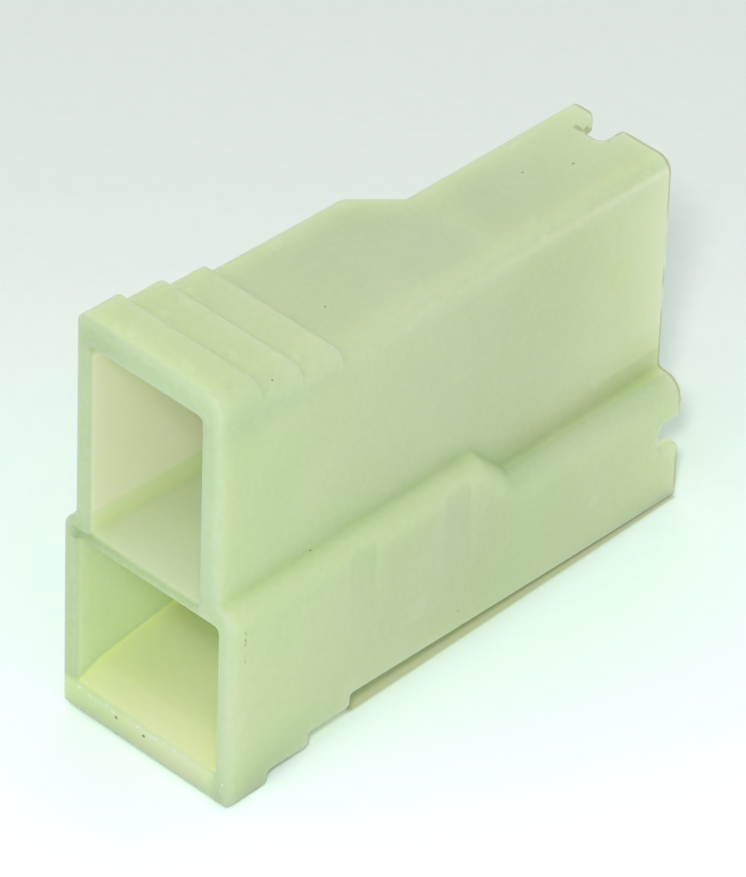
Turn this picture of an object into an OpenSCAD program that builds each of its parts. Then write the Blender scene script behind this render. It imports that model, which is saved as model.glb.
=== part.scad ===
// Two-way hood for flat blade terminals, moulded in one piece.
// A low wide cell lies under a tall narrow one, so the mouth reads as a T on its side.
// Each cell is a mating hood in front and a smaller wire cell behind a sloping shoulder.
// X runs across, Y from the mating mouth to the wire end, Z up.
// The origin is under the middle of the body, level with the lowest collar band.

/* [Body] */
// Length from the mating mouth to the wire end
length = 34.4; // [30:0.2:44]
// Length of the hood, from the mouth to the start of the shoulder
hood_length = 19.0; // [15:0.2:22]
// Length of the sloping shoulder between hood and wire cells
shoulder_length = 2.5; // [1.6:0.1:3.6]
// Thickness of the outer walls
wall = 1.0; // [0.8:0.05:1.2]
// Draft of the tall cell's side faces, in degrees
side_draft = 1.0; // [0:0.1:1.4]

/* [Wide lower cell] */
// Outer width of the lower cell
lower_width = 12.6; // [12:0.1:16]
// Height from the underside to the ledge, along the hood
lower_height = 10.4; // [9:0.1:13]
// How far the ledge drops at the shoulder
ledge_drop = 2.4; // [1.2:0.1:3.2]
// Thickness of the ledge over the lower cell
ledge_wall = 1.4; // [1:0.1:1.8]
// Thickness of the divider between the cells
divider = 0.6; // [0.5:0.05:1]

/* [Tall upper cell] */
// Height of the tall cell above the ledge
upper_height = 11.4; // [9:0.1:15]
// Distance of its left face from the centre plane, at the mouth
left_reach = 5.45; // [5:0.05:5.8]
// Distance of its right face from the centre plane, at the mouth
right_reach = 5.2; // [4.8:0.1:5.8]
// How far the left face steps in at the shoulder
left_step = 2.3; // [1.2:0.1:2.8]
// Thickness of its right wall
right_wall = 1.4; // [1:0.1:1.5]

/* [Collar] */
// Length of the banded collar round the mouth
collar_length = 9.1; // [7:0.1:11]
// Number of bands
bands = 3; // [2:1:4]
// Step of each band over the top
top_step = 0.61; // [0.3:0.01:0.8]
// Step of each band under the bottom
bottom_step = 0.88; // [0.4:0.02:1]
// Thickness of the rim at the top and bottom of the mouth
rim = 1.7; // [1.2:0.1:1.9]
// Length of the steep lead-in just inside the mouth
lead_in = 1.8; // [1:0.1:3]

/* [Edges] */
// Radius of the tall cell's top edge on the right
right_edge_r = 1.0; // [0.5:0.1:1.4]
// Radius of the tall cell's top edge on the left, where the shoulder is
left_edge_r = 0.5; // [0.4:0.1:0.9]
// Radius of the ledge's outer edges
ledge_r = 1.2; // [0.4:0.1:1.3]
// Radius of the bands' rear edges
band_r = 0.4; // [0.2:0.05:0.45]
// Radius of the edges round the mouth and along the underside
edge_r = 0.3; // [0.15:0.05:0.5]

/* [Terminal seats] */
// How far the terminal stops stand in from their walls
stop_height = 1.2; // [0.8:0.1:1.6]
// Length of each stop along the cell
stop_length = 1.5; // [1:0.1:2.5]
// Height of the catch that a terminal's lance drops behind
catch_height = 0.5; // [0.3:0.05:0.6]
// Length of the catch, ramp included
catch_length = 2.4; // [1.5:0.1:3.5]
// Distance of the catch from the wire end
catch_inset = 5.2; // [4.5:0.1:6.5]

/* [Wire end notches and side grooves] */
// Width of the key notch in the tall cell's top
top_notch_width = 1.7; // [1.2:0.1:2.2]
// Width of the key notches in the wide cell's sides
side_notch_width = 1.9; // [1.2:0.1:2.2]
// Depth of the key notches
notch_depth = 1.7; // [1:0.1:2.4]
// Height of the side notches' middle above the underside
side_notch_z = 4.6; // [4:0.1:5]
// Width of each shallow groove in the lower cell's sides
groove_width = 2.0; // [1:0.1:3]
// Depth of each groove at the ledge, running out to nothing below
groove_depth = 0.2; // [0.1:0.05:0.4]
// Height above the underside at which the grooves run out
groove_foot_z = 2.4; // [1.5:0.1:4]
// Distance from the mouth to the middle of the first groove
groove_inset = 9.9; // [9:0.1:12]
// Distance between the grooves
groove_pitch = 7.1; // [5:0.1:8]

/* [Hidden] */
$fn = 32;

over = 0.5;     // how far each cutter runs clear of what it cuts
bite = 0.3;     // how far an added piece is sunk into its wall
ease = 0.01;    // how far a cutter is set out from an edge with draft, so that its arc crosses both faces

half_width = lower_width / 2;
upper_top = lower_height + upper_height;
wire_ledge = lower_height - ledge_drop;
shoulder_end = hood_length + shoulder_length;
band_length = collar_length / bands;
collar_top = upper_top + bands * top_step;
collar_drop = bands * bottom_step;

// Outer side faces of the tall cell at a distance y from the mouth
function right_face(y) = right_reach - y * tan(side_draft);
function left_face(y) = -left_reach + y * tan(side_draft);
wire_left = left_face(hood_length) + left_step;

// Setback that keeps a wall's thickness where its faces turn by the angle of the shoulder
function setback(thickness, rise) = thickness * tan(atan2(rise, shoulder_length) / 2);

// Inner faces of the cells
ceiling = upper_top - wall;
ceiling_mouth = collar_top - rim;
floor_mouth = rim - collar_drop;
lead_share = 0.4;  // part of the flare that the steep lead-in takes up
floor_lead = floor_mouth + (wall - floor_mouth) * lead_share;
lower_ceiling = lower_height - ledge_wall;
wire_ceiling = wire_ledge - ledge_wall;
wire_right = right_face(length) - right_wall;

// Extrusions along X and along Y of outlines drawn in YZ and XZ
module along_x(x0, x1) {
    translate([x0, 0, 0]) rotate([90, 0, 90]) linear_extrude(x1 - x0) children();
}
module along_y(y0, y1) {
    translate([0, y1, 0]) rotate([90, 0, 0]) linear_extrude(y1 - y0) children();
}

// What a radius r takes off a square corner whose tip is at the origin, with the material to its lower left
module corner_waste(r) {
    difference() {
        translate([-r, -r]) square(r + over);
        translate([-r, -r]) circle(r);
    }
}
// The same along an edge that runs from the origin towards +Y, with the material at -X and -Z
module edge_waste(run, r) {
    along_y(0, run) corner_waste(r);
}

// Rounds the ends of the collar's bands and the mouth's edge, in an outline whose bands step down by the given
// amount from the height base; the bands are counted from the mouth
module band_ends_waste(base, step) {
    for (index = [0 : bands - 1])
        translate([(index + 1) * band_length, base + (bands - index) * step]) corner_waste(band_r);
    translate([0, base + bands * step]) mirror([1, 0]) corner_waste(edge_r);
}
// Corners of the steps above the height base, from the last band to the mouth
function steps(base, step) = [
    for (index = [bands - 1 : -1 : 0]) each [
        [(index + 1) * band_length, base + (bands - index) * step],
        [index * band_length, base + (bands - index) * step]
    ]
];

// Wide cell: the wire cell's block runs the whole length, and the hood's block with its slope stands on it,
// so the rounded edges of the two meet in a mitre
module lower_body() {
    fall = atan2(ledge_drop, shoulder_length);
    slope = norm([ledge_drop, shoulder_length]);
    difference() {
        union() {
            difference() {
                translate([-half_width, bite, 0]) cube([lower_width, length - bite, wire_ledge]);
                ledge_waste(0, length + over, wire_ledge);
            }
            difference() {
                along_x(-half_width, half_width) lower_hood_outline();
                ledge_waste(-over, hood_length, lower_height);
                translate([0, hood_length, lower_height]) rotate([-fall, 0, 0]) ledge_waste(0, slope + over, 0);
            }
        }
        underside_waste(collar_length, length + over, 0);
        for (index = [0 : bands - 1])
            underside_waste(index * band_length - (index == 0 ? over : 0), (index + 1) * band_length + over,
                            (index - bands) * bottom_step);
    }
}
module lower_hood_outline() {
    difference() {
        polygon(concat(
            [[0, lower_height], [hood_length, lower_height], [shoulder_end, wire_ledge], [shoulder_end, 0],
             [collar_length, 0]],
            steps(0, -bottom_step)
        ));
        mirror([0, 1]) band_ends_waste(0, bottom_step);
    }
}
// Rounds both outer edges of a ledge at height z, from y0 to y1
module ledge_waste(y0, y1, z) {
    for (side = [0, 1]) mirror([side, 0, 0]) translate([half_width, y0, z]) edge_waste(y1 - y0, ledge_r);
}
// Rounds both lower edges at height z, from y0 to y1
module underside_waste(y0, y1, z) {
    for (side = [0, 1]) mirror([side, 0, 0])
        translate([half_width, y0, z]) mirror([0, 0, 1]) edge_waste(y1 - y0, edge_r);
}

// Tall cell: its outline seen from above, cut to the stepped outline seen from the side
module upper_body() {
    turn = atan2(left_step, shoulder_length);
    slope = norm([left_step, shoulder_length]);
    mitre = left_edge_r * tan(turn / 2);
    difference() {
        intersection() {
            along_x(-half_width, half_width) upper_side_outline();
            linear_extrude(collar_top + over) polygon([
                [left_face(-over), -over], [left_face(hood_length), hood_length],
                [wire_left, shoulder_end], [wire_left, length + over],
                [right_face(length + over), length + over], [right_face(-over), -over]
            ]);
        }
        right_waste(collar_length, length + over, upper_top);
        left_waste([left_face(collar_length), collar_length], hood_length - collar_length, side_draft, upper_top);
        left_waste([left_face(hood_length), hood_length], slope + mitre, turn, upper_top);
        left_waste([wire_left, shoulder_end - mitre], length - shoulder_end + mitre + over, 0, upper_top);
        for (index = [0 : bands - 1]) {
            y0 = index * band_length - (index == 0 ? over : 0);
            y1 = (index + 1) * band_length + over;
            top = upper_top + (bands - index) * top_step;
            right_waste(y0, y1, top);
            left_waste([left_face(y0), y0], y1 - y0, side_draft, top);
        }
    }
}
module upper_side_outline() {
    difference() {
        polygon(concat(
            [[0, wall], [length, wall], [length, upper_top], [collar_length, upper_top]],
            steps(upper_top, top_step)
        ));
        band_ends_waste(upper_top, top_step);
    }
}
// Rounds the tall cell's right top edge at the given height, from y0 to y1
module right_waste(y0, y1, top) {
    translate([right_face(y0) + ease, y0, top + ease]) rotate([0, 0, side_draft])
        edge_waste(y1 - y0, right_edge_r);
}
// Rounds a stretch of its left top edge, from a corner of the outline on, turned in from straight back
module left_waste(start, run, turn, top) {
    translate([start[0] - ease, start[1], top + ease]) mirror([1, 0, 0]) rotate([0, 0, turn])
        edge_waste(run, left_edge_r);
}

// Rounds the upright edges of the mouth
module mouth_edges() {
    for (side = [0, 1]) mirror([side, 0, 0]) {
        reach = side == 0 ? right_face(0) : -left_face(0);
        translate([half_width, 0, -collar_drop - over])
            linear_extrude(collar_drop + over + lower_height) mirror([0, 1]) corner_waste(edge_r);
        translate([reach, 0, lower_height])
            linear_extrude(collar_top + over - lower_height) mirror([0, 1]) corner_waste(edge_r);
    }
}

// Inside of the wide cell, from the flared mouth to the wire end
module lower_cavity() {
    back = setback(ledge_wall, ledge_drop);
    along_x(wall - half_width, half_width - wall) polygon([
        [-over, floor_mouth - over * (floor_lead - floor_mouth) / lead_in],
        [lead_in, floor_lead], [collar_length, wall], [length + over, wall],
        [length + over, wire_ceiling], [shoulder_end - back, wire_ceiling],
        [hood_length - back, lower_ceiling], [-over, lower_ceiling]
    ]);
}

// Inside of the tall cell: the outline seen from the side, cut to the outline seen from above
module upper_cavity() {
    drop = setback(ledge_wall, ledge_drop);
    inset = setback(wall, left_step);
    slope = (ceiling_mouth - ceiling) / collar_length;
    intersection() {
        along_x(-lower_width, lower_width) polygon([
            [-over, ceiling_mouth + over * slope], [collar_length, ceiling],
            [length + over, ceiling], [length + over, wire_ceiling + divider],
            [shoulder_end - drop, wire_ceiling + divider],
            [hood_length - drop, lower_ceiling + divider], [-over, lower_ceiling + divider]
        ]);
        linear_extrude(collar_top) polygon([
            [left_face(-over) + wall, -over], [left_face(hood_length) + wall, hood_length - inset],
            [wire_left + wall, shoulder_end - inset], [wire_left + wall, length + over],
            [right_face(length + over) - right_wall, length + over],
            [right_face(-over) - right_wall, -over]
        ]);
    }
}

// Stops that a blade's shoulders meet: across the floor and ceiling of the tall cell,
// and down both sides of the wide one, because its blade lies flat
module terminal_stops() {
    for (z = [wire_ceiling + divider - bite, ceiling - stop_height])
        translate([wire_left + wall - bite, shoulder_end, z])
            cube([wire_right - wire_left - wall + 2 * bite, stop_length, stop_height + bite]);
    for (side = [-1, 1])
        translate([side * (half_width - wall + (bite - stop_height) / 2), shoulder_end + stop_length / 2,
                   (wall + wire_ceiling) / 2])
            cube([stop_height + bite, stop_length, wire_ceiling - wall + 2 * bite], center = true);
}

// Ramped catches that hold a terminal's lance: on the tall cell's left wall and the wide cell's floor
module lance_catches() {
    y1 = length - catch_inset;
    ramp = [[y1 - catch_length, catch_height], [y1 - catch_length * 0.6, catch_height], [y1, 0],
            [y1, -bite], [y1 - catch_length, -bite]];
    translate([0, 0, wall]) along_x(-half_width / 3, half_width / 3) polygon(ramp);
    translate([wire_left + wall, 0, (ceiling + wire_ledge) / 2]) rotate([0, 90, 0])
        along_x(-half_width / 3, half_width / 3) polygon(ramp);
}

// Key notches at the wire end: one in the tall cell's top, one in each side of the wide cell
module key_notches() {
    translate([0, length, ceiling - over]) linear_extrude(wall + 2 * over) {
        notch_outline(top_notch_width);
        translate([-top_notch_width / 2, 0]) corner_waste(top_notch_width / 2);
    }
    for (side = [-1, 1])
        translate([side * (half_width - wall / 2) - wall / 2 - over, length, side_notch_z])
            rotate([0, 90, 0]) linear_extrude(wall + 2 * over) notch_outline(side_notch_width);
}
module notch_outline(width) {
    difference() {
        translate([-width / 2, -notch_depth]) square([width, notch_depth + over]);
        for (side = [0, 1]) mirror([side, 0])
            translate([width / 2, -notch_depth]) mirror([0, 1]) corner_waste(width / 4);
    }
}

// Shallow upright grooves in the wide cell's sides, deepest at the ledge
module side_grooves() {
    for (side = [-1, 1], index = [0, 1])
        mirror([side > 0 ? 0 : 1, 0, 0])
            along_y(groove_inset + index * groove_pitch - groove_width / 2,
                    groove_inset + index * groove_pitch + groove_width / 2)
                polygon([[half_width, groove_foot_z], [half_width + over, groove_foot_z],
                         [half_width + over, lower_height + over], [half_width - groove_depth, lower_height + over],
                         [half_width - groove_depth, lower_height]]);
}

module housing() {
    color([0.80, 0.87, 0.70]) translate([0, -length / 2, collar_drop]) {
        difference() {
            union() {
                lower_body();
                upper_body();
            }
            mouth_edges();
            lower_cavity();
            upper_cavity();
            key_notches();
            side_grooves();
        }
        terminal_stops();
        lance_catches();
    }
}

housing();
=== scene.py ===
"""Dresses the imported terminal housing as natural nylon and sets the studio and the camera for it."""

import math

import bpy
from mathutils import Matrix, Vector


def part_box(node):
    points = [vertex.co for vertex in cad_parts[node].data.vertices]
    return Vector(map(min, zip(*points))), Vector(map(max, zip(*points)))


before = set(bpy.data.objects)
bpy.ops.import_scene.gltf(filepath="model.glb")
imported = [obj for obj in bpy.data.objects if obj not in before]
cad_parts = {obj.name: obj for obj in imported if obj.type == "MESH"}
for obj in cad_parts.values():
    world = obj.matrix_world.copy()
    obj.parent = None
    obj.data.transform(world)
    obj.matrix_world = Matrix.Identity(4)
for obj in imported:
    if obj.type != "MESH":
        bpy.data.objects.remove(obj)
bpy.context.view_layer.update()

MM = 0.001
LOW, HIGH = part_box("housing")
MOUTH_Y, WIRE_Y = LOW.y, HIGH.y
CENTRE = (LOW + HIGH) / 2

# Sizes that part.scad names, in metres
BAND_LENGTH = 3.0333 * MM
BAND_ROUNDING = 0.4 * MM
BELLY_Z = 2.64 * MM
LEDGE_Z = BELLY_Z + 10.4 * MM
LEDGE_DROP = 2.4 * MM
WIRE_LEDGE_Z = LEDGE_Z - LEDGE_DROP
SHOULDER_Y = MOUTH_Y + 19.0 * MM
SHOULDER_LENGTH = 2.5 * MM
DIVIDER_TOP = BELLY_Z + 9.6 * MM
ROOF_Z = LEDGE_Z + 11.4 * MM
WALL = 1.0 * MM
TALL_LEFT, TALL_RIGHT = -5.45 * MM, 5.2 * MM

# The housing leans back from its lowest band onto the rear end of its belly
REST_Y = MOUTH_Y + BAND_LENGTH - BAND_ROUNDING
LEAN = math.atan2(BELLY_Z, WIRE_Y - REST_Y)


# ---------------------------------------------------------------- node helpers
class Graph:
    """Builds one material's nodes with short calls."""

    def __init__(self, name):
        self.material = bpy.data.materials.new(name)
        self.material.use_nodes = True
        self.tree = self.material.node_tree
        self.tree.nodes.clear()

    def node(self, kind, inputs=None, **settings):
        n = self.tree.nodes.new(kind)
        for key, value in settings.items():
            setattr(n, key, value)
        for key, value in (inputs or {}).items():
            self.plug(n.inputs[key], value)
        return n

    def plug(self, socket, value):
        if isinstance(value, bpy.types.NodeSocket):
            self.tree.links.new(value, socket)
        else:
            socket.default_value = value

    def math(self, operation, *values):
        n = self.node("ShaderNodeMath", operation=operation)
        for i, v in enumerate(values):
            self.plug(n.inputs[i], v)
        return n.outputs[0]

    def split(self, vector):
        return self.node("ShaderNodeSeparateXYZ", {"Vector": vector}).outputs

    def measure(self, operation, a, b):
        """A number from two vectors, such as their DISTANCE or DOT_PRODUCT."""
        return self.node("ShaderNodeVectorMath", {0: a, 1: b}, operation=operation).outputs["Value"]

    def ramp(self, value, low, high, to_low=0.0, to_high=1.0):
        """Smooth step of a value from low to high."""
        n = self.node("ShaderNodeMapRange", interpolation_type="SMOOTHSTEP")
        names = ("Value", "From Min", "From Max", "To Min", "To Max")
        for key, v in zip(names, (value, low, high, to_low, to_high)):
            self.plug(n.inputs[key], v)
        return n.outputs["Result"]

    def over(self, value, edge, blur):
        """1 where the value is past the edge, with a blur about it."""
        return self.ramp(value, edge - blur, edge + blur)

    def under(self, value, edge, blur):
        """1 where the value is short of the edge, with a blur about it."""
        return self.ramp(value, edge - blur, edge + blur, 1.0, 0.0)

    def near(self, value, middle, reach, blur):
        """1 where the value is within a reach of the middle."""
        gap = self.math("SUBTRACT", value, middle)
        return self.under(self.math("ABSOLUTE", gap), reach, blur)

    def all_of(self, *masks):
        result = masks[0]
        for mask in masks[1:]:
            result = self.math("MULTIPLY", result, mask)
        return result

    def mix(self, factor, a, b, blend="MIX"):
        n = self.node("ShaderNodeMix", data_type="RGBA", blend_type=blend)
        self.plug(n.inputs["Factor"], factor)
        self.plug(n.inputs["A"], a)
        self.plug(n.inputs["B"], b)
        return n.outputs["Result"]

    def tint(self, tone, mask, colour):
        """Multiplies the tone by a colour inside the mask."""
        return self.mix(mask, tone, rgb(*colour), "MULTIPLY")

    def paint(self, tone, mask, colour, cover):
        """Lays a colour over the tone inside the mask."""
        return self.mix(self.math("MULTIPLY", mask, cover), tone, rgb(*colour))

    def noise(self, where, scale, detail):
        n = self.node("ShaderNodeTexNoise", {"Vector": where, "Scale": scale, "Detail": detail})
        return n.outputs["Fac"]


def rgb(r, g, b):
    return (r, g, b, 1.0)


# ---------------------------------------------------------------- nylon
# Tones of the bare moulding, and the tints that multiply them zone by zone; all but the blotch tint are
# painted light or painted shade
NYLON_LOW, NYLON_HIGH = (0.57, 0.685, 0.397), (0.60, 0.705, 0.43)
TALL_PAINTED_LIGHT_TINT, LOW_WALL_PAINTED_SHADE_TINT = (1.47, 1.30, 1.50), (0.86, 0.97, 0.86)
WIDE_PAINTED_LIGHT_TINT, DEEP_PAINTED_LIGHT_TINT = (1.05, 1.03, 1.17), (1.34, 1.37, 1.02)
RIM_LEFT_PAINTED_SHADE_TINT, RIM_RIGHT_PAINTED_SHADE_TINT = (0.77, 0.79, 0.85), (0.89, 0.93, 0.98)
LOW_RIM_PAINTED_LIGHT_TINT, DIVIDER_PAINTED_SHADE_TINT = (1.46, 1.58, 1.20), (0.70, 0.76, 0.63)
FOOT_PAINTED_SHADE_TINT, EDGE_PAINTED_SHADE_TINT = (0.92, 0.89, 0.83), (0.94, 0.93, 0.99)
LEDGE_PAINTED_SHADE_TINT, BLOTCH_TINT = (0.90, 0.90, 0.97), (0.99, 0.98, 0.80)
CORNER_PAINTED_SHADE_TINT = (0.90, 0.92, 0.80)

# Wear, dirt and grain, with a painted highlight on the worn edges and painted glints along the lower lip
WORN_EDGE_AND_SHEEN_COLOUR, GRAIN_COLOUR = (0.84, 0.92, 0.70), (0.95, 1.0, 0.80)
SPECK_COLOUR, GLINT_COLOUR = (0.16, 0.15, 0.08), (1.0, 1.0, 0.92)
END_DIRT_COLOUR, NOTCH_DIRT_COLOUR = (0.24, 0.21, 0.11), (0.26, 0.23, 0.13)

RIM_DEPTH = 0.25 * MM
WIRE_STEP = 2.5 * MM  # how far the tall cell's inside moves in behind the shoulder, on the left
LOWEST_INSIDE = BELLY_Z - 1.6 * MM  # the wide cell's floor dips to the mouth
DIVIDER_SHOWN = 0.75 * MM  # height of the divider's end in the mouth
LIP_TOP = 1.9 * MM
BLOTCH_PLACE = (TALL_RIGHT, WIRE_Y - 4.0 * MM, 0.5 * (LEDGE_Z + ROOF_Z))

CLOUD_SCALE, PATCH_SCALE, GRAIN_SCALE = 120.0, 260.0, 2600.0
SPECK_SCALE, SPECK_SHAPE_SCALE, SPECK_RAGGED = 420.0, 9000.0, 0.12 * MM
SCRATCH_SCALE, NOTCH_SCALE, GLINT_SCALE = 5200.0, 1500.0, 2900.0
SCATTER = 4.0 * MM
THROUGH_WALL = 0.05  # light that the lower cell's thin walls let in


def along(share):
    """A place along the housing, as a share of its length from the mouth."""
    return MOUTH_Y + share * (WIRE_Y - MOUTH_Y)


# Larger specks: two over the ledge, one low on the right side, four on the roof, two on the lip
BIG_SPECK, SMALL_SPECK = 0.10 * MM, 0.06 * MM
SPECK_LIP_Z = 0.5 * BELLY_Z
SPECKS = (
    ((TALL_RIGHT - 0.1 * MM, along(1 / 5), LEDGE_Z), BIG_SPECK),
    ((TALL_RIGHT - 0.1 * MM, along(1 / 3), LEDGE_Z), SMALL_SPECK),
    ((HIGH.x, along(1 / 2), 1.5 * BELLY_Z), SMALL_SPECK),
    ((0.2 * HIGH.x, along(1 / 3), ROOF_Z), SMALL_SPECK),
    ((0.0, along(1 / 4), ROOF_Z), SMALL_SPECK),
    ((0.0, along(4 / 5), ROOF_Z), SMALL_SPECK),
    ((0.2 * HIGH.x, along(7 / 8), ROOF_Z), SMALL_SPECK),
    ((0.0, MOUTH_Y, SPECK_LIP_Z), BIG_SPECK),
    ((LOW.x / 3, MOUTH_Y, SPECK_LIP_Z), BIG_SPECK),
)


class Nylon(Graph):
    """The housing's material, with what its zones and marks are measured from."""

    def __init__(self):
        super().__init__("natural_nylon")
        self.place = self.node("ShaderNodeTexCoord").outputs["Object"]
        self.x, self.y, self.z = self.split(self.place)
        surface = self.node("ShaderNodeNewGeometry").outputs
        _, self.facing_back, up = self.split(surface["Normal"])
        self.facing_up = self.ramp(up, 0.3, 0.8)
        self.pointiness = surface["Pointiness"]
        self.patches = self.noise(self.place, PATCH_SCALE, 2.0)
        self.grain = self.noise(self.place, GRAIN_SCALE, 1.0)
        self.behind_rim = self.over(self.y, MOUTH_Y + RIM_DEPTH, 0.15 * MM)

    def inside_tall(self, tone):
        """Painted light makes the tall cell's inside paler; painted shade makes its floor and the foot of
        its walls greener.
        """
        step_in = self.ramp(self.y, SHOULDER_Y, SHOULDER_Y + SHOULDER_LENGTH, 0.0, WIRE_STEP)
        inside = self.all_of(
            self.over(self.math("SUBTRACT", self.x, step_in), TALL_LEFT + 0.55 * WALL, 0.2 * WALL),
            self.under(self.x, TALL_RIGHT - 0.6 * WALL, 0.2 * WALL),
            self.behind_rim,
            self.over(self.z, DIVIDER_TOP - 0.2 * MM, 0.1 * MM),
            self.under(self.z, ROOF_Z - 0.5 * WALL, 0.2 * WALL),
        )
        # Painted shade on the floor and along the foot of the walls
        wall_foot = self.under(self.z, DIVIDER_TOP + 1.36 * MM, 0.12 * MM)
        low_wall = self.all_of(inside, self.math("MAXIMUM", self.facing_up, wall_foot))
        return self.tint(self.tint(tone, inside, TALL_PAINTED_LIGHT_TINT), low_wall, LOW_WALL_PAINTED_SHADE_TINT)

    def inside_wide(self, tone):
        """Painted light makes the wide cell's inside yellower, more so in its deep part. Also gives the mask
        of its deep part, which glows a little as painted light.
        """
        drop = self.ramp(self.y, SHOULDER_Y - 1.0 * MM, SHOULDER_Y + 1.5 * MM, 0.0, LEDGE_DROP)
        inside = self.all_of(
            self.over(self.x, LOW.x + 0.55 * WALL, 0.2 * WALL),
            self.under(self.x, HIGH.x - 0.55 * WALL, 0.2 * WALL),
            self.behind_rim,
            self.under(self.math("ADD", self.z, drop), DIVIDER_TOP - 0.3 * MM, 0.1 * MM),
            self.over(self.z, LOWEST_INSIDE, 0.3 * MM),
        )
        # Painted light, strongest in the deep part
        right_half = self.over(self.x, 0.0, 4.5 * MM)
        deep = self.all_of(inside, self.math("MAXIMUM", right_half, self.facing_up))
        return self.tint(self.tint(tone, inside, WIDE_PAINTED_LIGHT_TINT), deep, DEEP_PAINTED_LIGHT_TINT), deep

    def mouth(self, tone):
        """Rim of the mouth with painted shade, darker to the left; the divider's end with painted shade; and
        the lower lip with painted light.
        """
        rim = self.under(self.y, MOUTH_Y + RIM_DEPTH, 0.2 * MM)
        # Painted shade on the rim, darker to the left
        to_right = self.over(self.x, -1.0 * MM, 5.0 * MM)
        tone = self.mix(rim, tone, self.mix(to_right, rgb(*RIM_LEFT_PAINTED_SHADE_TINT), rgb(*RIM_RIGHT_PAINTED_SHADE_TINT)), "MULTIPLY")
        # Painted shade on the divider's end
        divider = self.all_of(
            rim,
            self.over(self.z, DIVIDER_TOP - DIVIDER_SHOWN, 0.08 * MM),
            self.under(self.z, DIVIDER_TOP + 0.1 * MM, 0.08 * MM),
            self.over(self.x, TALL_LEFT, 0.5 * MM),
            self.under(self.x, TALL_RIGHT - 1.4 * MM, 0.5 * MM),
        )
        # Painted light on the lower lip
        low_rim = self.all_of(
            rim,
            self.under(self.z, LIP_TOP, 0.3 * MM),
            self.under(self.x, HIGH.x - 1.2 * MM, 0.5 * MM),
        )
        return self.tint(self.tint(tone, divider, DIVIDER_PAINTED_SHADE_TINT), low_rim, LOW_RIM_PAINTED_LIGHT_TINT)

    def outsides(self, tone):
        """Painted shade: the olive foot of the tall cell's rear wall, and the darker upper right edge of the
        tall cell.
        """
        # Painted shade at the foot of the wall
        foot = self.all_of(
            self.over(self.x, TALL_RIGHT - 1.0 * WALL, 0.1 * WALL),
            self.under(self.x, TALL_RIGHT + 0.05 * MM, 0.1 * MM),
            self.over(self.y, SHOULDER_Y + SHOULDER_LENGTH, 2.0 * MM),
            self.under(self.z, WIRE_LEDGE_Z + 1.7 * MM, 1.2 * MM),
            self.over(self.z, WIRE_LEDGE_Z + 0.05 * MM, 0.2 * MM),
        )
        # Painted shade on the upper right edge
        edge = self.all_of(
            self.over(self.x, TALL_RIGHT - 1.2 * MM, 0.5 * MM),
            self.over(self.z, ROOF_Z - 1.4 * MM, 0.9 * MM),
            self.behind_rim,
        )
        return self.tint(self.tint(tone, foot, FOOT_PAINTED_SHADE_TINT), edge, EDGE_PAINTED_SHADE_TINT)

    def wear_sheen_and_shade(self, tone):
        """Paler, partly worn edges with a painted highlight, a little painted shade in the corners and a
        faint grain.
        """
        # Paler edges in patches: partly worn, partly painted highlight
        worn_and_sheen = self.all_of(self.ramp(self.pointiness, 0.52, 0.58), self.ramp(self.patches, 0.42, 0.6))
        tone = self.paint(tone, worn_and_sheen, WORN_EDGE_AND_SHEEN_COLOUR, 0.12)
        # Painted shade in the concave corners
        corner = self.ramp(self.pointiness, 0.40, 0.49, 1.0, 0.0)
        tone = self.tint(tone, self.math("MULTIPLY", corner, 0.35), CORNER_PAINTED_SHADE_TINT)
        return self.mix(self.ramp(self.grain, 0.3, 0.7, 0.0, 0.05), tone, rgb(*GRAIN_COLOUR))

    def ledge(self, tone):
        """Painted shade on the ledge behind the shoulder, greyer than the walls, and the yellow blotch above
        it.
        """
        # Painted shade on the ledge
        ledge = self.all_of(
            self.over(self.x, TALL_RIGHT, 0.1 * MM),
            self.over(self.y, SHOULDER_Y + 2.0 * MM, 1.0 * MM),
            self.over(self.z, WIRE_LEDGE_Z - 1.0 * MM, 0.6 * MM),
            self.under(self.z, WIRE_LEDGE_Z + 0.3 * MM, 0.1 * MM),
        )
        tone = self.tint(tone, ledge, LEDGE_PAINTED_SHADE_TINT)
        away = self.measure("DISTANCE", self.place, BLOTCH_PLACE)
        blotch = self.ramp(away, 0.6 * MM, 1.6 * MM, 1.0, 0.0)
        return self.tint(tone, self.math("MULTIPLY", blotch, 0.5), BLOTCH_TINT)

    def specks(self, tone):
        """A scatter of fine dark specks, the larger ones, and a faint scratch by the mouth."""
        cells = self.node("ShaderNodeTexVoronoi", {"Vector": self.place, "Scale": SPECK_SCALE}, feature="F1")
        lottery = self.node("ShaderNodeSeparateColor", {"Color": cells.outputs["Color"]}).outputs["Red"]
        size = self.ramp(lottery, 0.80, 1.0, 0.0, 0.022)
        speck = self.math("LESS_THAN", cells.outputs["Distance"], size)

        shape = self.noise(self.place, SPECK_SHAPE_SCALE, 0.0)
        ragged = self.math("MULTIPLY", self.math("SUBTRACT", shape, 0.5), SPECK_RAGGED)
        for centre, radius in SPECKS:
            away = self.math("ADD", self.measure("DISTANCE", self.place, centre), ragged)
            speck = self.math("MAXIMUM", speck, self.math("LESS_THAN", away, radius))

        scratch = self.all_of(
            self.over(self.x, HIGH.x - 0.3 * MM, 0.1 * MM),
            self.near(self.y, MOUTH_Y + 1.1 * MM, 0.07 * MM, 0.03 * MM),
            self.over(self.z, LEDGE_Z - 3.6 * MM, 0.1 * MM),
            self.under(self.z, LEDGE_Z - 1.5 * MM, 0.1 * MM),
            self.over(self.noise(self.place, SCRATCH_SCALE, 0.0), 0.56, 0.03),
        )
        speck = self.math("MAXIMUM", speck, self.math("MULTIPLY", scratch, 0.5))
        return self.paint(tone, speck, SPECK_COLOUR, 0.8)

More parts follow.
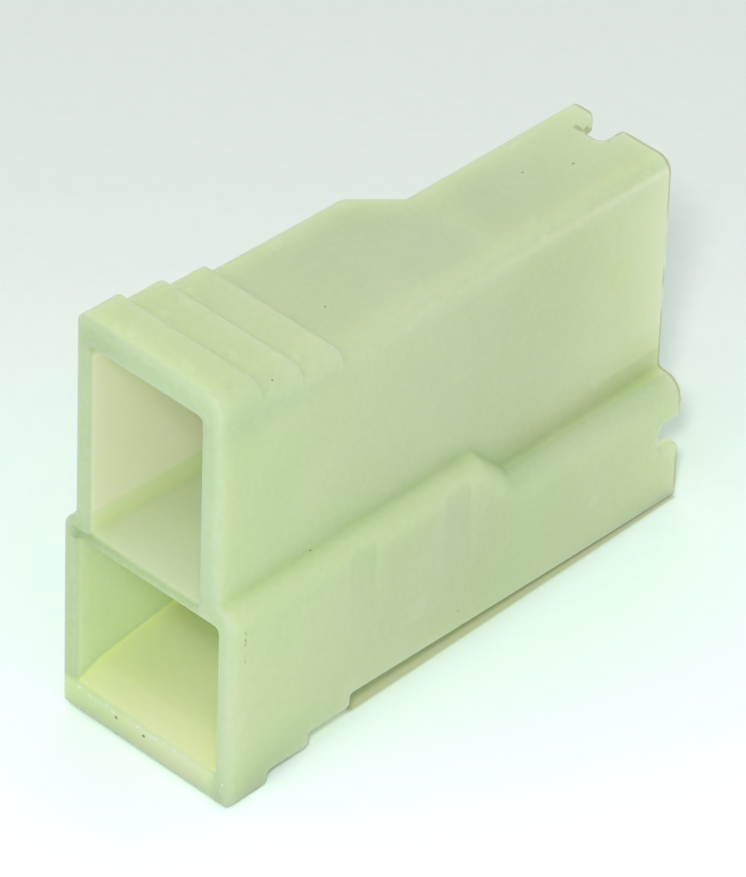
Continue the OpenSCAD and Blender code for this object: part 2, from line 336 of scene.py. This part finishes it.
    def dirt_and_glints(self, tone):
        """Dirt round the wire end and in its top notch, and painted glints along the lower lip."""
        end = self.all_of(
            self.over(self.y, WIRE_Y - 0.30 * MM, 0.1 * MM),
            self.ramp(self.facing_back, 0.75, 0.97, 1.0, 0.12),
            self.ramp(self.patches, 0.38, 0.52),
        )
        tone = self.paint(tone, end, END_DIRT_COLOUR, 0.75)
        notch = self.all_of(
            self.over(self.y, WIRE_Y - 1.9 * MM, 0.1 * MM),
            self.over(self.z, ROOF_Z - 1.1 * MM, 0.1 * MM),
            self.near(self.x, 0.0, 1.1 * MM, 0.15 * MM),
            self.over(self.noise(self.place, NOTCH_SCALE, 1.0), 0.52, 0.06),
        )
        tone = self.paint(tone, notch, NOTCH_DIRT_COLOUR, 0.6)
        # Painted glints along the lower lip
        painted_glints = self.all_of(
            self.under(self.y, MOUTH_Y + 0.35 * MM, 0.1 * MM),
            self.near(self.z, 0.6 * BELLY_Z, 0.12 * MM, 0.04 * MM),
            self.over(self.noise(self.place, GLINT_SCALE, 0.0), 0.69, 0.02),
        )
        return self.paint(tone, painted_glints, GLINT_COLOUR, 0.7)


def nylon():
    g = Nylon()
    cloud = g.noise(g.place, CLOUD_SCALE, 1.0)
    tone = g.mix(g.ramp(cloud, 0.35, 0.65), rgb(*NYLON_LOW), rgb(*NYLON_HIGH))
    tone, deep = g.inside_wide(g.inside_tall(tone))
    for layer in (g.mouth, g.outsides, g.wear_sheen_and_shade, g.ledge, g.specks, g.dirt_and_glints):
        tone = layer(tone)

    shader = g.node(
        "ShaderNodeBsdfPrincipled",
        {
            "Base Color": tone,
            "Roughness": g.ramp(g.patches, 0.3, 0.7, 0.38, 0.50),
            "IOR": 1.53,
            "Subsurface Weight": 1.0,
            "Subsurface Radius": (1.0, 1.05, 0.75),
            "Subsurface Scale": SCATTER,
            "Specular IOR Level": 0.35,
            # Painted glow in the wide cell's deep part
            "Emission Color": tone,
            "Emission Strength": g.math("MULTIPLY", deep, THROUGH_WALL),
        },
        subsurface_method="RANDOM_WALK",
    )
    bump = g.node("ShaderNodeBump", {"Strength": 0.10, "Distance": 0.03 * MM, "Height": g.grain})
    g.plug(shader.inputs["Normal"], bump.outputs[0])
    g.node("ShaderNodeOutputMaterial", {"Surface": shader.outputs[0]})
    return g.material


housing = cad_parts["housing"]
housing.data.materials.clear()
housing.data.materials.append(nylon())

# The photo's moulding has softer edges than the solid's small radii
VOXEL = 0.14 * MM
SMOOTH_FACTOR, SMOOTH_PASSES = 0.5, 6
FACES_KEPT = 0.34

melt = housing.modifiers.new("melt", "REMESH")
melt.mode, melt.voxel_size, melt.use_smooth_shade = "VOXEL", VOXEL, True
relax = housing.modifiers.new("relax", "SMOOTH")
relax.factor, relax.iterations = SMOOTH_FACTOR, SMOOTH_PASSES
thin = housing.modifiers.new("thin", "DECIMATE")
thin.ratio = FACES_KEPT


# ---------------------------------------------------------------- floor
# Painted light falloff: the table's colour and lift near and far from the camera
FLOOR_NEAR, FLOOR_FAR = (0.93, 0.97, 0.96), (0.72, 0.79, 0.72)
LIFT_NEAR, LIFT_MID, LIFT_FAR = (1.38, 1.42, 1.56), (1.12, 1.215, 1.20), (1.085, 1.05, 1.077)
GRIT_SCALE, GRIT_COLOUR = 900.0, (0.5, 0.55, 0.52)
AWAY = (-0.69, 0.725, 0.0)  # level direction away from the camera
# Painted shadow under the belly's right edge: its slope, start and colour
WEDGE_SLOPE, WEDGE_START, WEDGE_SHADOW_COLOUR = 0.036, 7.0 * MM, (0.74, 0.75, 0.56)
FLOOR_HALF = 1.5


def shadow_wedge_mask(g, place):
    """Painted shadow: a strip under the belly's right edge that narrows to nothing where the wire end rests.
    """
    x, y, _ = g.split(place)
    rest_end = WIRE_Y - REST_Y
    gap = g.math("MULTIPLY", g.math("SUBTRACT", rest_end, y), WEDGE_SLOPE)
    return g.all_of(
        g.ramp(g.math("ADD", x, gap), HIGH.x - 0.05 * MM, HIGH.x + 0.20 * MM, 1.0, 0.0),
        g.ramp(y, WEDGE_START, WEDGE_START + 0.6 * MM),
        g.ramp(y, rest_end - 0.2 * MM, rest_end + 0.2 * MM, 1.0, 0.0),
        g.ramp(x, 1.5 * MM, 3.5 * MM),
    )


def floor_material():
    g = Graph("pale_table")
    place = g.node("ShaderNodeTexCoord").outputs["Object"]
    # Painted light falloff: the table darkens away from the camera
    away = g.measure("DOT_PRODUCT", place, AWAY)
    colour = g.mix(g.ramp(away, -0.02, 0.11), rgb(*FLOOR_NEAR), rgb(*FLOOR_FAR))
    grit = g.noise(place, GRIT_SCALE, 1.0)
    colour = g.mix(g.ramp(grit, 0.3, 0.7, 0.0, 0.03), colour, rgb(*GRIT_COLOUR))
    # The camera sees the table brighter than the housing does: white, with its shadows kept; the lift is
    # larger near the camera, a painted light falloff
    lift = g.mix(g.ramp(away, -0.03, 0.016), rgb(*LIFT_NEAR), rgb(*LIFT_MID))
    lift = g.mix(g.ramp(away, 0.008, 0.05), lift, rgb(*LIFT_FAR))
    lifted = g.mix(1.0, colour, lift, "MULTIPLY")
    # A painted shadow lies as a brown strip under the lifted belly; its brown is painted light that comes
    # through the nylon
    lifted = g.mix(shadow_wedge_mask(g, place), lifted, rgb(*WEDGE_SHADOW_COLOUR))

    path = g.node("ShaderNodeLightPath").outputs
    mirrored = g.math("MAXIMUM", path["Is Glossy Ray"], path["Is Transmission Ray"])
    seen = g.math("MAXIMUM", path["Is Camera Ray"], mirrored)
    shader = g.node("ShaderNodeBsdfDiffuse", {"Color": g.mix(seen, colour, lifted), "Roughness": 0.3})
    g.node("ShaderNodeOutputMaterial", {"Surface": shader.outputs[0]})
    return g.material


mesh = bpy.data.meshes.new("floor")
corners = [(-1, -1), (1, -1), (1, 1), (-1, 1)]
mesh.from_pydata([(FLOOR_HALF * x, FLOOR_HALF * y, 0) for x, y in corners], [], [(0, 1, 2, 3)])
floor = bpy.data.objects.new("floor", mesh)
bpy.context.scene.collection.objects.link(floor)
floor.matrix_world = Matrix.Translation((0, REST_Y, 0)) @ Matrix.Rotation(LEAN, 4, "X")
mesh.materials.append(floor_material())


# ---------------------------------------------------------------- light
LAMP_COLOUR, ROOM_COLOUR = (1.0, 0.985, 0.96), (0.95, 1.0, 0.98)
ROOM_STRENGTH = 0.66


def toward(azimuth, elevation):
    """Direction from the housing to a lamp or the camera. Azimuth 0 is in front of the mouth."""
    a, e = math.radians(azimuth), math.radians(elevation)
    return Vector((math.sin(a) * math.cos(e), -math.cos(a) * math.cos(e), math.sin(e)))


def softbox(name, azimuth, elevation, distance, size, watts):
    data = bpy.data.lights.new(name, "AREA")
    data.shape, data.size, data.energy, data.color = "DISK", size, watts, LAMP_COLOUR
    lamp = bpy.data.objects.new(name, data)
    bpy.context.scene.collection.objects.link(lamp)
    back = toward(azimuth, elevation)
    lamp.location = CENTRE + back * distance
    lamp.rotation_mode = "QUATERNION"
    lamp.rotation_quaternion = (-back).to_track_quat("-Z", "Y")


softbox("key", azimuth=39.5, elevation=43.0, distance=0.40, size=0.05, watts=0.44)
softbox("back", azimuth=-135.0, elevation=42.0, distance=0.30, size=0.20, watts=0.07)

world = bpy.data.worlds.new("studio")
bpy.context.scene.world = world
world.use_nodes = True
background = world.node_tree.nodes["Background"].inputs
background["Color"].default_value = rgb(*ROOM_COLOUR)
background["Strength"].default_value = ROOM_STRENGTH

# ---------------------------------------------------------------- camera
CAMERA_AZIMUTH, CAMERA_ELEVATION, CAMERA_ROLL = 43.4259, 37.6611, 2.1088
CAMERA_PLACE = Vector((227.396, -240.685, 267.631)) * MM
LENS, SENSOR = 322.66, 36.0

data = bpy.data.cameras.new("camera")
data.lens, data.sensor_width = LENS, SENSOR
data.clip_start, data.clip_end = 0.01, 10.0
camera = bpy.data.objects.new("camera", data)
bpy.context.scene.collection.objects.link(camera)
camera.location = CAMERA_PLACE
camera.rotation_mode = "QUATERNION"
aim = (-toward(CAMERA_AZIMUTH, CAMERA_ELEVATION)).to_track_quat("-Z", "Y")
camera.rotation_quaternion = aim @ Matrix.Rotation(math.radians(CAMERA_ROLL), 4, "Z").to_quaternion()
bpy.context.scene.camera = camera

bpy.context.scene.view_settings.view_transform = "Standard"
